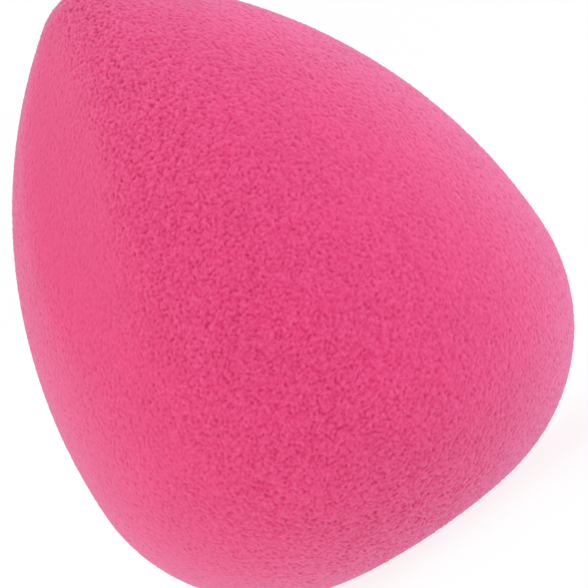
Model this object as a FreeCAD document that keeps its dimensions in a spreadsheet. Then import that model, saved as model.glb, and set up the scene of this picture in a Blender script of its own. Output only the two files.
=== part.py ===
# Makeup sponge: one blunt teardrop of soft moulded foam, standing on its base with the tip up.
# The origin is the middle of the flat patch it rests on, +Z runs up the axis to the tip,
# and the flatter side that is used on cheeks and chin faces -Y. All sizes are millimetres.
import FreeCAD, Part
import math
import os
import Sketcher

# Driving sizes
SIZES = {
    "belly_diameter": 44.0,      # widest ring
    "overall_height": 53.8,      # resting patch to tip
    "shoulder_reach": 6.2,       # how far from the axis the rounding between base and belly is centred
    "base_crown_radius": 75.0,   # curvature of the gently domed base
    "rest_radius": 5.0,          # flat patch that the sponge's own weight presses into the base
    "tip_radius": 6.0,           # rounding of the tip
    "facet_foot_rise": 10.0,     # where the flatter side runs out, above the widest ring
    "facet_depth": 0.8,          # how far the flatter side lies inside the round flank
    "skin_thickness": 0.6,       # dense skin that forms against the mould
    "cutter_margin": 2.0,        # how far the facet's cutter stands past each side of the sponge
}

# Values that follow from the driving sizes: the shoulder rounds the base into the widest ring, the
# flank is one arc from there to the tip rounding, and the facet is a flatter arc between two points
# of that flank.
WORKED = {
    "base_centre_height": "sqrt(sizes.base_crown_radius^2 - sizes.rest_radius^2)",
    "shoulder_radius": "sizes.belly_diameter / 2 - sizes.shoulder_reach",
    "belly_height": "base_centre_height"
                    " - sqrt((sizes.base_crown_radius - shoulder_radius)^2 - sizes.shoulder_reach^2)",
    "tip_centre_height": "sizes.overall_height - sizes.tip_radius",
    "tip_rise": "tip_centre_height - belly_height",
    "flank_radius": "(sizes.belly_diameter^2 / 4 + tip_rise^2 - sizes.tip_radius^2)"
                    " / (sizes.belly_diameter - 2 * sizes.tip_radius)",
    "flank_centre_reach": "sizes.belly_diameter / 2 - flank_radius",
    "foot_angle": "asin(sizes.facet_foot_rise / flank_radius)",
    "top_angle": "atan(tip_rise / -flank_centre_reach)",
    "middle_angle": "(foot_angle + top_angle) / 2",
    "facet_crest": "flank_radius - sizes.facet_depth",
    "facet_shift": "(facet_crest^2 - flank_radius^2)"
                   " / (2 * (facet_crest - flank_radius * cos((top_angle - foot_angle) / 2)))",
    "facet_radius": "facet_crest - facet_shift",
    "facet_axis_y": "-flank_centre_reach - facet_shift * cos(middle_angle)",
    "facet_axis_z": "belly_height + facet_shift * sin(middle_angle)",
}

doc = FreeCAD.newDocument("makeup_sponge")


def fill_sheet(name, cells, as_formula):
    sheet = doc.addObject("Spreadsheet::Sheet", name)
    for row, (alias, value) in enumerate(cells.items(), start=1):
        cell = "B%d" % row
        sheet.set("A%d" % row, alias)
        sheet.setAlias(cell, alias)
        sheet.set(cell, "=" + value if as_formula else str(value))
    doc.recompute()
    return sheet


sizes = fill_sheet("sizes", SIZES, False)
worked = fill_sheet("worked", WORKED, True)


def origin_feature(body, role):
    return next(item for item in body.Origin.OriginFeatures if item.Role == role)


def draw_outline(sketch, inset):
    # Half outline on the XZ plane: flat patch, domed base, shoulder, flank and tip, all tangent
    # arcs. The same centres serve at every inset, so an inset outline is parallel to the outer one.
    gap = getattr(sizes, inset) if inset else 0.0
    belly = sizes.belly_diameter / 2 - gap
    crown = sizes.base_crown_radius - gap
    base_z = worked.base_centre_height
    rest = math.sqrt(crown ** 2 - (base_z - gap) ** 2)
    reach = sizes.shoulder_reach
    belly_z = worked.belly_height
    shoulder = worked.shoulder_radius - gap
    tip_z = worked.tip_centre_height
    flank = worked.flank_radius - gap
    tip = sizes.tip_radius - gap
    join = math.atan2(belly_z - base_z, reach)
    top = math.atan2(worked.tip_rise, -worked.flank_centre_reach)

    def point(x, z):
        return FreeCAD.Vector(x, z, 0)

    def arc(x, z, radius, start, end):
        circle = Part.Circle(point(x, z), FreeCAD.Vector(0, 0, 1), radius)
        return sketch.addGeometry(Part.ArcOfCircle(circle, start, end))

    axis = sketch.addGeometry(Part.LineSegment(point(0, tip_z + tip), point(0, gap)))
    patch = sketch.addGeometry(Part.LineSegment(point(0, gap), point(rest, gap)))
    base_arc = arc(0, base_z, crown, math.atan2(gap - base_z, rest), join)
    shoulder_arc = arc(reach, belly_z, shoulder, join, 0)
    flank_arc = arc(worked.flank_centre_reach, belly_z, flank, 0, top)
    tip_arc = arc(0, tip_z, tip, top, math.pi / 2)

    origin, upright = (-1, 1), -2
    start, end, centre = 1, 2, 3
    for kind, *where in (
        ("PointOnObject", axis, start, upright),
        ("PointOnObject", axis, end, upright),
        ("PointOnObject", base_arc, centre, upright),
        ("PointOnObject", tip_arc, centre, upright),
        ("Horizontal", patch),
        ("Horizontal", shoulder_arc, centre, shoulder_arc, end),
        ("Coincident", axis, end, patch, start),
        ("Coincident", patch, end, base_arc, start),
        ("Tangent", base_arc, end, shoulder_arc, start),
        ("Tangent", shoulder_arc, end, flank_arc, start),
        ("Tangent", flank_arc, end, tip_arc, start),
        ("Coincident", tip_arc, end, axis, start),
    ):
        sketch.addConstraint(Sketcher.Constraint(kind, *where))

    less = " - sizes.%s" % inset if inset else ""
    base_height = "worked.base_centre_height"
    for name, value, formula, kind, *where in (
        ("belly_reach", belly, "sizes.belly_diameter / 2" + less, "DistanceX", *origin, shoulder_arc, end),
        ("shoulder_reach", reach, "sizes.shoulder_reach", "DistanceX", *origin, shoulder_arc, centre),
        ("base_height", base_z, base_height, "DistanceY", *origin, base_arc, centre),
        ("base_radius", crown, "sizes.base_crown_radius" + less, "Radius", base_arc),
        ("patch_drop", base_z - gap, base_height + less, "DistanceY", patch, end, base_arc, centre),
        ("tip_height", tip_z, "worked.tip_centre_height", "DistanceY", *origin, tip_arc, centre),
        ("tip_radius", tip, "sizes.tip_radius" + less, "Radius", tip_arc),
    ):
        index = sketch.addConstraint(Sketcher.Constraint(kind, *where, value))
        sketch.renameConstraint(index, name)
        sketch.setExpression("Constraints." + name, formula)


def turned_body(name, inset):
    # The outline turned about the upright axis.
    body = doc.addObject("PartDesign::Body", name)
    sketch = body.newObject("Sketcher::SketchObject", name + "_outline")
    sketch.AttachmentSupport = [(origin_feature(body, "XZ_Plane"), "")]
    sketch.MapMode = "FlatFace"
    draw_outline(sketch, inset)
    turn = body.newObject("PartDesign::Revolution", name + "_turn")
    turn.Profile = sketch
    turn.ReferenceAxis = (sketch, ["V_Axis"])
    turn.Angle = 360.0
    return body


def facet_cutter(name, inset):
    # A large cylinder across the sponge: what lies inside it is kept, so its wall leaves a side
    # that is flat across and gently bowed along its length.
    less = " - sizes.%s" % inset if inset else ""
    cutter = doc.addObject("Part::Cylinder", name)
    cutter.Placement = FreeCAD.Placement(
        FreeCAD.Vector(), FreeCAD.Rotation(FreeCAD.Vector(0, 1, 0), 90))
    cutter.setExpression("Radius", "worked.facet_radius" + less)
    cutter.setExpression("Height", "sizes.belly_diameter + 2 * sizes.cutter_margin")
    cutter.setExpression("Placement.Base.x", "-sizes.belly_diameter / 2 - sizes.cutter_margin")
    cutter.setExpression("Placement.Base.y", "worked.facet_axis_y")
    cutter.setExpression("Placement.Base.z", "worked.facet_axis_z")
    return cutter


def sponge_solid(name, inset):
    solid = doc.addObject("Part::Common", name)
    solid.Base = turned_body(name + "_body", inset)
    solid.Tool = facet_cutter(name + "_facet", inset)
    return solid


# Whole sponge, and the foam core one skin thickness inside it
whole = sponge_solid("whole_sponge", None)
core = sponge_solid("foam_core", "skin_thickness")

# Dense skin: the whole sponge less its core, so the two meet face to face all over
skin = doc.addObject("Part::Cut", "moulded_skin")
skin.Base = whole
skin.Tool = core

doc.recompute()

for item in doc.Objects:
    if "Invalid" in item.State or "Error" in item.State:
        raise RuntimeError("%s failed: %s" % (item.Label, item.State))

os.makedirs("parts", exist_ok=True)
for part in (core, skin):
    shape = part.Shape
    if shape.isNull() or not shape.isValid() or len(shape.Solids) != 1:
        raise RuntimeError("%s is not one valid solid" % part.Label)
    shape.exportStep("parts/%s.step" % part.Label)
    box = shape.BoundBox
    print("%s: %.1f mm3, %.2f x %.2f x %.2f mm from z %.3f"
          % (part.Label, shape.Volume, box.XLength, box.YLength, box.ZLength, box.ZMin))

facet_loss = whole.Base.Shape.Volume - whole.Shape.Volume
if facet_loss <= 0:
    raise RuntimeError("the flatter side cuts nothing")
print("flatter side takes off %.1f mm3" % facet_loss)
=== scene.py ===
import math

import bpy
import numpy as np
from mathutils import Matrix, Vector


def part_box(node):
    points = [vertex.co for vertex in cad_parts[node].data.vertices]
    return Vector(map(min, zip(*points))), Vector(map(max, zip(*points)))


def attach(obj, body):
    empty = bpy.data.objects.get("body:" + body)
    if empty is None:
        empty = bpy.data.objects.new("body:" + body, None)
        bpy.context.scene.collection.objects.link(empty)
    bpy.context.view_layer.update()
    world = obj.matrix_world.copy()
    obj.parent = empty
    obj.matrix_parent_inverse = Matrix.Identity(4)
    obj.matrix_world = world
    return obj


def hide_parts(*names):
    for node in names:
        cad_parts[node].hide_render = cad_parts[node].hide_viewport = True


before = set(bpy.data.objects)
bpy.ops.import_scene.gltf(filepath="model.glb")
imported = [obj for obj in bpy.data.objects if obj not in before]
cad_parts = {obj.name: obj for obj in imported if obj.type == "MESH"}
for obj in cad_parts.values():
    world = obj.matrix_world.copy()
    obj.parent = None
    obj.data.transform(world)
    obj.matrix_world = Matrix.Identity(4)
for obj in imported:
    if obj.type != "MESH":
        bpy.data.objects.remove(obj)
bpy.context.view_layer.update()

mm = 0.001
skinLow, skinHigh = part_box("moulded_skin")
_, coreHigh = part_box("foam_core")

# the sponge's form, in metres: tangent arcs from the resting patch to the tip
form = {
    "belly": (skinHigh.x - skinLow.x) / 2,
    "height": skinHigh.z,
    "shoulderReach": 6.2 * mm,      # the rounding between base and belly is centred here
    "baseCrown": 75.0 * mm,         # curvature of the domed base
    "rest": 5.0 * mm,               # flat patch under the base
    "tip": 6.0 * mm,
    "facetFootRise": 10.0 * mm,     # the flatter side runs out this far above the belly
    "facetDepth": 0.8 * mm,
    "facetSoftness": 0.55 * mm,     # how widely its edges are rounded over
    "softFrom": 0.3,                # share of the tip's radius where that rounding begins
    "softLeast": 0.02,              # share of it that is left nearer to the axis
    "flatnessGain": 1.6,            # the side counts as wholly flat at 1 / 1.6 of its depth
    "facetLimit": 0.05,             # least cosine of the angle from -Y that the side can reach
}


def formArcs():
    # every arc as (centre reach, centre height, radius, first angle, last angle), worked out so
    # that each meets the next along one tangent
    baseZ = math.sqrt(form["baseCrown"] ** 2 - form["rest"] ** 2)
    shoulder = form["belly"] - form["shoulderReach"]
    bellyZ = baseZ - math.sqrt((form["baseCrown"] - shoulder) ** 2 - form["shoulderReach"] ** 2)
    tipZ = form["height"] - form["tip"]
    rise = tipZ - bellyZ
    flank = (form["belly"] ** 2 + rise ** 2 - form["tip"] ** 2) / (2 * (form["belly"] - form["tip"]))
    flankX = form["belly"] - flank
    start = math.atan2(-baseZ, form["rest"])
    join = math.atan2(bellyZ - baseZ, form["shoulderReach"])
    top = math.atan2(rise, -flankX)
    return [
        (0.0, baseZ, form["baseCrown"], start, join),
        (form["shoulderReach"], bellyZ, shoulder, join, 0.0),
        (flankX, bellyZ, flank, 0.0, top),
        (0.0, tipZ, form["tip"], top, math.pi / 2),
    ]


def outline(rows, inset):
    # reach and height of the outline, its outward direction and the share of its length so far, at
    # rows places evenly spaced along it: each arc is centre + (radius - inset) * (cos a, sin a)
    arcs = formArcs()
    lengths = [form["rest"]] + [radius * (last - first) for _, _, radius, first, last in arcs]
    ends = np.cumsum(lengths)
    along = np.linspace(0, ends[-1], rows + 2)[1:-1]
    reach = along.copy()
    height = np.full(rows, inset)
    outX = np.zeros(rows)
    outZ = np.full(rows, -1.0)
    for (x, z, radius, first, last), begin, end in zip(arcs, ends[:-1], ends[1:]):
        here = (along >= begin) & (along <= end)
        angle = first + (along - begin) / radius
        reach = np.where(here, x + (radius - inset) * np.cos(angle), reach)
        height = np.where(here, z + (radius - inset) * np.sin(angle), height)
        outX = np.where(here, np.cos(angle), outX)
        outZ = np.where(here, np.sin(angle), outZ)
    return reach, height, outX, outZ, along / ends[-1]


def facetReach(height, inset):
    # distance from the axis of the bowed flat at each height: a circle through two points of the
    # flank whose middle lies facetDepth inside it
    _, _, (flankX, bellyZ, flank, _, top), _ = formArcs()
    foot = math.asin(form["facetFootRise"] / flank)
    middle = (foot + top) / 2
    crest = flank - form["facetDepth"]
    shift = (crest ** 2 - flank ** 2) / (2 * (crest - flank * math.cos((top - foot) / 2)))
    radius = crest - shift - inset
    x = flankX + shift * math.cos(middle)
    z = bellyZ + shift * math.sin(middle)
    return x + np.sqrt(np.maximum(radius ** 2 - (height - z) ** 2, 0))


def softMin(a, b, width):
    # the lesser of a and b, rounded over where they are within width of each other
    mix = np.clip(0.5 + 0.5 * (b - a) / width, 0, 1)
    return b + (a - b) * mix - width * mix * (1 - mix)


def spongeGrid(rows, columns, inset):
    # points of the sponge on a grid: outline along, turned around the axis, with the flatter side
    # taken off by softMin(round reach, flat reach / cos(angle from -Y))
    reach, height, outX, outZ, along = outline(rows, inset)
    around = np.linspace(0, 2 * math.pi, columns, endpoint=False)
    side = np.sin(around)
    away = np.cos(around)
    flat = facetReach(height, inset)[:, None] / np.maximum(away, form["facetLimit"])
    flat = np.where(away > form["facetLimit"], flat, form["height"])    # elsewhere well outside
    turned = np.broadcast_to(reach[:, None], flat.shape)
    soft = form["facetSoftness"] * np.clip(reach / form["tip"] - form["softFrom"], form["softLeast"], 1)
    cut = softMin(turned, flat, soft[:, None])
    points = np.stack([cut * side, -cut * away, np.broadcast_to(height[:, None], cut.shape)], -1)
    outward = np.stack([outX[:, None] * side, -outX[:, None] * away,
                        np.broadcast_to(outZ[:, None], cut.shape)], -1)
    flatness = np.clip((turned - cut) / form["facetDepth"] * form["flatnessGain"], 0, 1)
    return points, outward, flatness, along


noiseTable = {
    "seed": 11,
    "size": 256,
    "apart": 50 * mm,       # each numbered pattern is read this far from the one before
}
rng = np.random.default_rng(noiseTable["seed"])
shuffled = rng.permutation(noiseTable["size"])
slopes = rng.normal(size=(noiseTable["size"], 3))
slopes /= np.linalg.norm(slopes, axis=1)[:, None]


def gradientNoise(points, cell, pattern=0):
    # smooth noise about 0: a random slope at each corner of a cubic lattice, blended across each
    # cell by 6 t^5 - 15 t^4 + 10 t^3
    place = (points + pattern * noiseTable["apart"]) / cell
    base = np.floor(place).astype(np.int64)
    part = place - base
    fade = part ** 3 * (part * (part * 6 - 15) + 10)
    last = noiseTable["size"] - 1
    total = np.zeros(points.shape[:-1])
    for corner in np.ndindex(2, 2, 2):
        at = (base + corner) & last
        pick = shuffled[at[..., 0]]
        pick = shuffled[(pick + at[..., 1]) & last]
        pick = shuffled[(pick + at[..., 2]) & last]
        weight = np.prod(np.where(np.array(corner) == 1, fade, 1 - fade), axis=-1)
        total += weight * (slopes[pick] * (part - corner)).sum(-1)
    return total


def buildMesh(name, shells):
    # joins closed turned grids into one mesh; each shell is (points, low pole, high pole, along,
    # inward, map band), and an inward shell has its faces turned to the inside
    places, corners, starts, mapped = [], [], [], []
    first = loops = 0
    for points, lowPole, highPole, along, inward, (bandLow, bandHigh) in shells:
        rows, columns, _ = points.shape
        places += [points.reshape(-1, 3), np.array([lowPole, highPole])]
        row, column = np.meshgrid(np.arange(rows - 1), np.arange(columns), indexing="ij")
        right = (column + 1) % columns
        quads = np.stack([row * columns + column, row * columns + right,
                          (row + 1) * columns + right, (row + 1) * columns + column], -1).reshape(-1, 4)
        up = bandLow + (bandHigh - bandLow) * along
        quadMap = np.stack([
            np.stack([column, column + 1, column + 1, column], -1).reshape(-1, 4) / columns,
            np.stack([up[row], up[row], up[row + 1], up[row + 1]], -1).reshape(-1, 4)], -1)
        edge = np.arange(columns)
        after = (edge + 1) % columns
        lowFan = np.stack([np.full(columns, rows * columns), after, edge], -1)
        highFan = np.stack([np.full(columns, rows * columns + 1),
                            (rows - 1) * columns + edge, (rows - 1) * columns + after], -1)
        lowMap = np.stack([np.stack([edge + 0.5, edge + 1, edge], -1) / columns,
                           np.broadcast_to([bandLow, up[0], up[0]], (columns, 3))], -1)
        highMap = np.stack([np.stack([edge + 0.5, edge, edge + 1], -1) / columns,
                            np.broadcast_to([bandHigh, up[-1], up[-1]], (columns, 3))], -1)
        for faces, faceMap in ((quads, quadMap), (lowFan, lowMap), (highFan, highMap)):
            if inward:
                faces, faceMap = faces[:, ::-1], faceMap[:, ::-1]
            corners.append((faces + first).ravel())
            mapped.append(faceMap.reshape(-1, 2))
            starts.append(loops + np.arange(len(faces)) * faces.shape[1])
            loops += faces.size
        first += rows * columns + 2
    places = np.concatenate(places)
    corners = np.concatenate(corners)
    starts = np.concatenate(starts)
    mesh = bpy.data.meshes.new(name)
    mesh.vertices.add(len(places))
    mesh.vertices.foreach_set("co", places.ravel())
    mesh.loops.add(len(corners))
    mesh.loops.foreach_set("vertex_index", corners)
    mesh.polygons.add(len(starts))
    mesh.polygons.foreach_set("loop_start", starts)
    mesh.update(calc_edges=True)
    mesh.shade_smooth()
    layer = mesh.uv_layers.new(name="OFBake")
    layer.uv.foreach_set("vector", np.concatenate(mapped).astype(np.float32).ravel())
    piece = bpy.data.objects.new(name, mesh)
    bpy.context.scene.collection.objects.link(piece)
    return piece


def keepValues(piece, name, values):
    # one number for each point of the piece's first grid, for its material to read; the rest keep 0
    kept = np.zeros(len(piece.data.vertices), np.float32)
    kept[:values.size] = values.ravel()
    attribute = piece.data.attributes.new(name, "FLOAT", "POINT")
    attribute.data.foreach_set("value", kept)


def linearColour(text):
    # sRGB hex to linear: below 0.04045 it is c / 12.92, and above ((c + 0.055) / 1.055) ^ 2.4
    code = np.array([int(text[i:i + 2], 16) for i in (0, 2, 4)]) / 255
    return (*np.where(code <= 0.04045, code / 12.92, ((code + 0.055) / 1.055) ** 2.4), 1.0)


def addNode(tree, kind, settings=None, links=None):
    # a node with its settings, then its links as socket: (other node, its output)
    node = tree.nodes.new(kind)
    for key, value in (settings or {}).items():
        if key in node.inputs:
            node.inputs[key].default_value = value
        else:
            setattr(node, key, value)
    for key, (other, output) in (links or {}).items():
        tree.links.new(other.outputs[output], node.inputs[key])
    return node


def newMaterial(name):
    material = bpy.data.materials.new(name)
    material.use_nodes = True
    material.node_tree.nodes.clear()
    return material, material.node_tree


# dense skin: closed shell with a pebbled outer face, resting flat under the base
skinPiece = {
    "rows": 720, "columns": 1140,
    "wall": skinHigh.z - coreHigh.z,
    "innerRows": 90, "innerColumns": 140,
    "outerBand": (0.0, 0.94), "innerBand": (0.95, 1.0),     # where the two faces lie on the map
    "pebble": 0.28 * mm,            # width of the pebbles
    "wrinkle": 0.40 * mm,           # spacing of the worm-like ridges between them
    "grain": 0.20 * mm,
    "warpCell": 0.616 * mm,         # a broader noise moves pebbles and ridges, so that none is round
    "warp": 0.098 * mm,             # how far it moves them
    "patterns": {"warp": (0, 1, 2), "pebbles": 0, "ridges": 4, "grain": 6},
    "relief": 0.080 * mm,           # height of one unit of the relief
    "shares": {"pebbles": 0.46, "ridges": 0.50, "grain": 0.46, "pores": 0.36},
    "ridgeCrest": 0.35, "ridgeSlope": 2.0,
    "poreStart": 0.12, "poreWidth": 0.30,   # pores open where the pebbles dip below minus this
    "facetRelief": 0.50,            # share of it left on the flatter side
    # how coarse the skin is by direction, in degrees from -Y to +X
    "coarse": ((-105, 1.9), (-60, 1.35), (-20, 1.05), (5, 1.6), (20, 2.2), (42, 2.3), (85, 1.3),
               (135, 1.8), (180, 2.0)),
}


def skinRelief(points, flatness):
    # height about 0 in units of the relief: pebbles + ridges + grain - pores, in mixed shares, where
    # ridges are crest - slope * |noise| and pores are the lowest dips between the pebbles
    pattern, share = skinPiece["patterns"], skinPiece["shares"]
    warp = np.stack([gradientNoise(points, skinPiece["warpCell"], each) for each in pattern["warp"]], -1)
    moved = points + skinPiece["warp"] * warp
    pebbles = gradientNoise(moved, skinPiece["pebble"], pattern["pebbles"])
    lines = np.abs(gradientNoise(moved, skinPiece["wrinkle"], pattern["ridges"]))
    ridges = skinPiece["ridgeCrest"] - skinPiece["ridgeSlope"] * lines
    grain = gradientNoise(points, skinPiece["grain"], pattern["grain"])
    pores = np.clip((-pebbles - skinPiece["poreStart"]) / skinPiece["poreWidth"], 0, 1)
    relief = (share["pebbles"] * pebbles + share["ridges"] * ridges + share["grain"] * grain
              - share["pores"] * (pores - pores.mean()))
    direction = np.degrees(np.arctan2(points[..., 0], -points[..., 1]))
    directions, levels = zip(*skinPiece["coarse"])
    coarse = np.interp(direction, directions, levels, period=360)
    coarse = coarse * (1 - (1 - skinPiece["facetRelief"]) * flatness)
    return relief * coarse, coarse


def makeSkin():
    points, outward, flatness, along = spongeGrid(skinPiece["rows"], skinPiece["columns"], 0.0)
    relief, coarse = skinRelief(points, flatness)
    points = points + outward * (relief * skinPiece["relief"])[..., None]
    points[..., 2] = np.maximum(points[..., 2], 0.0)
    wall = skinPiece["wall"]
    inner, _, _, innerAlong = spongeGrid(skinPiece["innerRows"], skinPiece["innerColumns"], wall)
    top = form["height"]
    skin = buildMesh("moulded_skin_pebbled", [
        (points, (0, 0, 0), (0, 0, top), along, False, skinPiece["outerBand"]),
        (inner, (0, 0, wall), (0, 0, top - wall), innerAlong, True, skinPiece["innerBand"]),
    ])
    # the relief heights also pick the painted shade and highlights in the skin's colour
    keepValues(skin, "relief", relief)
    keepValues(skin, "coarse", coarse)
    skin.data.materials.append(skinFoam())
    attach(skin, "root")
    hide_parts("moulded_skin")
    print("skin:", len(skin.data.polygons), "faces, relief from", relief.min().round(2),
          "to", relief.max().round(2))


skinLook = {
    # colour by height: painted shade down in the pores, the foam's own colour on the slopes, and paler
    # painted highlights on the crests and on their thin edges
    "coloursWithPaintedShadeAndHighlight": ((0.0, "d3165b"), (0.30, "dc2065"), (0.60, "e42f70"), (0.80, "e83d7a"), (1.0, "ec4b85")),
    "heights": (-1.30, 0.90),   # the heights, in units of the relief, that those colours span
    "mottle": 5.0 * mm,         # size of the faint cloudiness
    "mottleLevels": (0.94, 1.06),
    "grain": 0.14 * mm,         # cell walls in the skin
    "paintedGrainShade": 0.75,              # how much of the grain shows as painted shade and highlight
    "bump": 0.035 * mm,
    "roughness": 0.85,
    "specular": 0.2,            # weak: cell walls break up the shine
    "sheen": 0.46, "sheenRoughness": 0.65, "sheenTint": "e2e0ff",
}


def skinFoam():
    # moulded hydrophilic polyurethane foam: soft and matte, paler at grazing angles from the fine cell
    # walls that stand out of it; painted shade makes it deeper in colour down in its pores, and painted
    # highlights make its crests paler
    material, tree = newMaterial("moulded pink polyurethane foam skin")
    coords = addNode(tree, "ShaderNodeTexCoord")
    relief = addNode(tree, "ShaderNodeAttribute", {"attribute_name": "relief"})
    coarse = addNode(tree, "ShaderNodeAttribute", {"attribute_name": "coarse"})
    grain = addNode(tree, "ShaderNodeTexNoise",
                    {"Scale": 1 / skinLook["grain"], "Detail": 2.0, "Roughness": 0.6},
                    {"Vector": (coords, "Object")})
    half = skinLook["paintedGrainShade"] / 2
    paintedGrainShade = addNode(tree, "ShaderNodeMapRange", {"To Min": -half, "To Max": half},
                    {"Value": (grain, "Fac")})
    # height with its grain, which picks the painted shade or highlight: grain speck * coarse + relief
    rough = addNode(tree, "ShaderNodeMath", {"operation": "MULTIPLY_ADD"},
                    {0: (paintedGrainShade, "Result"), 1: (coarse, "Fac"), 2: (relief, "Fac")})
    lowest, highest = skinLook["heights"]
    height = addNode(tree, "ShaderNodeMapRange", {"From Min": lowest, "From Max": highest},
                     {"Value": (rough, 0)})
    # painted shade in the pores and painted highlights on the crests, picked by height
    shade = addNode(tree, "ShaderNodeValToRGB", {}, {"Fac": (height, "Result")})
    stops = shade.color_ramp.elements
    while len(stops) < len(skinLook["coloursWithPaintedShadeAndHighlight"]):
        stops.new(1.0)
    for stop, (place, colour) in zip(stops, skinLook["coloursWithPaintedShadeAndHighlight"]):
        stop.position = place
        stop.color = linearColour(colour)
    mottle = addNode(tree, "ShaderNodeTexNoise", {"Scale": 1 / skinLook["mottle"], "Detail": 2.0},
                     {"Vector": (coords, "Object")})
    darkest, palest = skinLook["mottleLevels"]
    level = addNode(tree, "ShaderNodeMapRange", {"To Min": darkest, "To Max": palest},
                    {"Value": (mottle, "Fac")})
    colour = addNode(tree, "ShaderNodeHueSaturation", {},
                     {"Color": (shade, "Color"), "Value": (level, "Result")})
    bump = addNode(tree, "ShaderNodeBump", {"Strength": 1.0, "Distance": skinLook["bump"]},
                   {"Height": (grain, "Fac")})
    shader = addNode(tree, "ShaderNodeBsdfPrincipled", {
        "Roughness": skinLook["roughness"], "IOR": 1.45, "Specular IOR Level": skinLook["specular"],
        "Sheen Weight": skinLook["sheen"], "Sheen Roughness": skinLook["sheenRoughness"],
        "Sheen Tint": linearColour(skinLook["sheenTint"]),
    }, {"Base Color": (colour, "Color"), "Normal": (bump, "Normal")})
    addNode(tree, "ShaderNodeOutputMaterial", {}, {"Surface": (shader, "BSDF")})
    return material


# foam core: fills the skin, with open cells on its surface
corePiece = {
    "rows": 160, "columns": 260,
    "cell": 0.9 * mm,
    "relief": 0.05 * mm,
    "clear": 0.08 * mm,         # keeps its crests off the skin's inner face
    "band": (0.0, 1.0),         # the core has the whole of its map
}


def makeCore():
    # the sponge one wall and a small clearance inside, with noise for its cells as relief
    inset = skinPiece["wall"] + corePiece["clear"]
    points, outward, _, along = spongeGrid(corePiece["rows"], corePiece["columns"], inset)
    cells = gradientNoise(points, corePiece["cell"])
    points = points + outward * (cells * corePiece["relief"])[..., None]
    core = buildMesh("foam_core_open_cell", [
        (points, (0, 0, inset), (0, 0, form["height"] - inset), along, False, corePiece["band"])])
    core.data.materials.append(coreFoam())
    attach(core, "root")
    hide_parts("foam_core")
    print("core:", len(core.data.polygons), "faces")


coreLook = {
    # the pores' colour is painted shade in the cell hollows; the walls keep the foam's own colour
    "wall": "f08fb2", "paintedPoreShade": "c63a6c",
    "cell": 0.7 * mm,
    "bump": 0.15 * mm, "bumpStrength": 0.9,
    "roughness": 0.95,
}


def coreFoam():
    # open-cell polyurethane foam: pale cell walls round pores darkened with painted shade, with no shine
    material, tree = newMaterial("open-cell pink polyurethane foam")
    coords = addNode(tree, "ShaderNodeTexCoord")
    cells = addNode(tree, "ShaderNodeTexVoronoi", {"Scale": 1 / coreLook["cell"]},
                    {"Vector": (coords, "Object")})
    shade = addNode(tree, "ShaderNodeMix", {"data_type": "RGBA"}, {"Factor": (cells, "Distance")})
    # the first colour is painted shade in the pores
    shade.inputs[6].default_value = linearColour(coreLook["paintedPoreShade"])      # 6 and 7 are its two colours
    shade.inputs[7].default_value = linearColour(coreLook["wall"])
    bump = addNode(tree, "ShaderNodeBump",
                   {"Strength": coreLook["bumpStrength"], "Distance": coreLook["bump"]},
                   {"Height": (cells, "Distance")})
    shader = addNode(tree, "ShaderNodeBsdfPrincipled", {"Roughness": coreLook["roughness"], "IOR": 1.45},
                     {"Base Color": (shade, 2), "Normal": (bump, "Normal")})
    addNode(tree, "ShaderNodeOutputMaterial", {}, {"Surface": (shader, "BSDF")})
    return material


makeSkin()
makeCore()

# camera: looks at the flank from a little above level, rolled so that the tip leans to the upper left
view = {
    "azimuth": math.radians(41.0), "elevation": math.radians(4.0), "roll": math.radians(33.83),
    "distance": 450 * mm,
    "nearest": 10 * mm,
    "frame": 588,                     # pixels each way
    "pixel": 0.08381 * mm,            # at the sponge's axis
    "axisPoint": Vector((0, 0, 18 * mm)),
    "axisPixel": (309.8, 348.1),      # where that point of the axis is seen
    "sensor": 36.0,
}


def cameraAxes():
    # right, up and backward directions: level axes first, then turned by the roll about the view
    a, e, roll = view["azimuth"], view["elevation"], view["roll"]
    back = Vector((math.sin(a) * math.cos(e), -math.cos(a) * math.cos(e), math.sin(e)))
    level = Vector((math.cos(a), math.sin(a), 0))
    upright = back.cross(level)
    right = level * math.cos(roll) - upright * math.sin(roll)
    up = upright * math.cos(roll) + level * math.sin(roll)
    return right, up, back


def makeCamera():
    right, up, back = cameraAxes()
    half = view["frame"] / 2
    across = (view["axisPixel"][0] - half) * view["pixel"]
    down = (view["axisPixel"][1] - half) * view["pixel"]
    middle = view["axisPoint"] - right * across + up * down
    camera = bpy.data.objects.new("camera", bpy.data.cameras.new("camera"))
    camera.data.sensor_width = view["sensor"]
    camera.data.lens = view["sensor"] * view["distance"] / (view["frame"] * view["pixel"])
    camera.data.clip_start = view["nearest"]
    camera.matrix_world = Matrix.Translation(middle + back * view["distance"]) @ Matrix(
        (right, up, back)).transposed().to_4x4()
    bpy.context.scene.collection.objects.link(camera)
    bpy.context.scene.camera = camera


def shownRays(tree):
    # 1 for rays from the camera and for mirrored or refracted ones, 0 for those that light a surface
    rays = addNode(tree, "ShaderNodeLightPath")
    shown = addNode(tree, "ShaderNodeMath", {"use_clamp": True},
                    {0: (rays, "Is Camera Ray"), 1: (rays, "Is Glossy Ray")})
    return addNode(tree, "ShaderNodeMath", {"use_clamp": True},
                   {0: (shown, 0), 1: (rays, "Is Transmission Ray")})


floorLook = {
    "size": 6.0,
    "clear": 0.05 * mm,               # it lies this far below the resting patch
    "colour": "ffffff",
    "shadowShare": 0.15,              # how much of the sponge's shadow is seen on it
}


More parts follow.
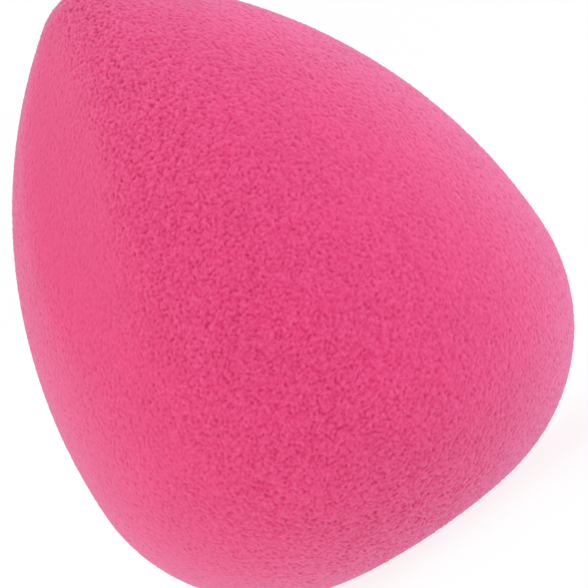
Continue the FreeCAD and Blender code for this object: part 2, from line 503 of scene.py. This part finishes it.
def makeFloor():
    # matte white board, seen as white with a share of the sponge's shadow kept on it
    mesh = bpy.data.meshes.new("floor")
    half = floorLook["size"] / 2
    low = -floorLook["clear"]
    corners = [(-half, -half, low), (half, -half, low), (half, half, low), (-half, half, low)]
    mesh.from_pydata(corners, [], [(0, 1, 2, 3)])
    floor = bpy.data.objects.new("floor", mesh)
    bpy.context.scene.collection.objects.link(floor)
    material, tree = newMaterial("matte white board")
    white = linearColour(floorLook["colour"])
    board = addNode(tree, "ShaderNodeBsdfDiffuse", {"Color": white})
    glow = addNode(tree, "ShaderNodeEmission", {"Color": white, "Strength": 1.0})
    seen = addNode(tree, "ShaderNodeMixShader", {"Fac": floorLook["shadowShare"]},
                   {1: (glow, 0), 2: (board, 0)})
    pick = addNode(tree, "ShaderNodeMixShader", {},
                   {"Fac": (shownRays(tree), 0), 1: (board, 0), 2: (seen, 0)})
    addNode(tree, "ShaderNodeOutputMaterial", {}, {"Surface": (pick, 0)})
    mesh.materials.append(material)
    floor.visible_diffuse = False     # with these two off, the soft light reaches the underside too
    floor.visible_shadow = False


lights = {
    "world": 0.95,                    # soft light from all round
    "distance": 0.6,
    # name: (right, up, back) in the camera's axes, size in metres, watts, colour
    "boxes": {
        "key": ((0.55, 0.75, 0.35), 0.5, 1.0, "d8f4ff"),
        "fill": ((-0.84, -0.50, 0.15), 0.5, 0.7, "ffd8d8"),
        "rim": ((0.80, 0.50, -0.55), 0.6, 0.6, "d8f4ff"),
    },
}


def makeLights():
    scene = bpy.context.scene
    right, up, back = cameraAxes()
    for name, ((r, u, b), size, watts, colour) in lights["boxes"].items():
        lamp = bpy.data.lights.new(name, "AREA")
        lamp.shape = "DISK"
        lamp.size = size
        lamp.energy = watts
        lamp.color = linearColour(colour)[:3]
        box = bpy.data.objects.new(name, lamp)
        away = (right * r + up * u + back * b).normalized()
        box.location = view["axisPoint"] + away * lights["distance"]
        box.rotation_euler = away.to_track_quat("Z", "Y").to_euler()
        box.visible_camera = False
        scene.collection.objects.link(box)
    world = bpy.data.worlds.new("studio")
    scene.world = world
    world.use_nodes = True
    tree = world.node_tree
    tree.nodes.clear()
    strength = addNode(tree, "ShaderNodeMapRange", {"To Min": lights["world"], "To Max": 1.0},
                       {"Value": (shownRays(tree), 0)})
    sky = addNode(tree, "ShaderNodeBackground", {"Color": (1, 1, 1, 1)},
                  {"Strength": (strength, "Result")})
    addNode(tree, "ShaderNodeOutputWorld", {}, {"Surface": (sky, 0)})
    scene.view_settings.view_transform = "Standard"


makeCamera()
makeFloor()
makeLights()
print("camera, floor and lights are set")
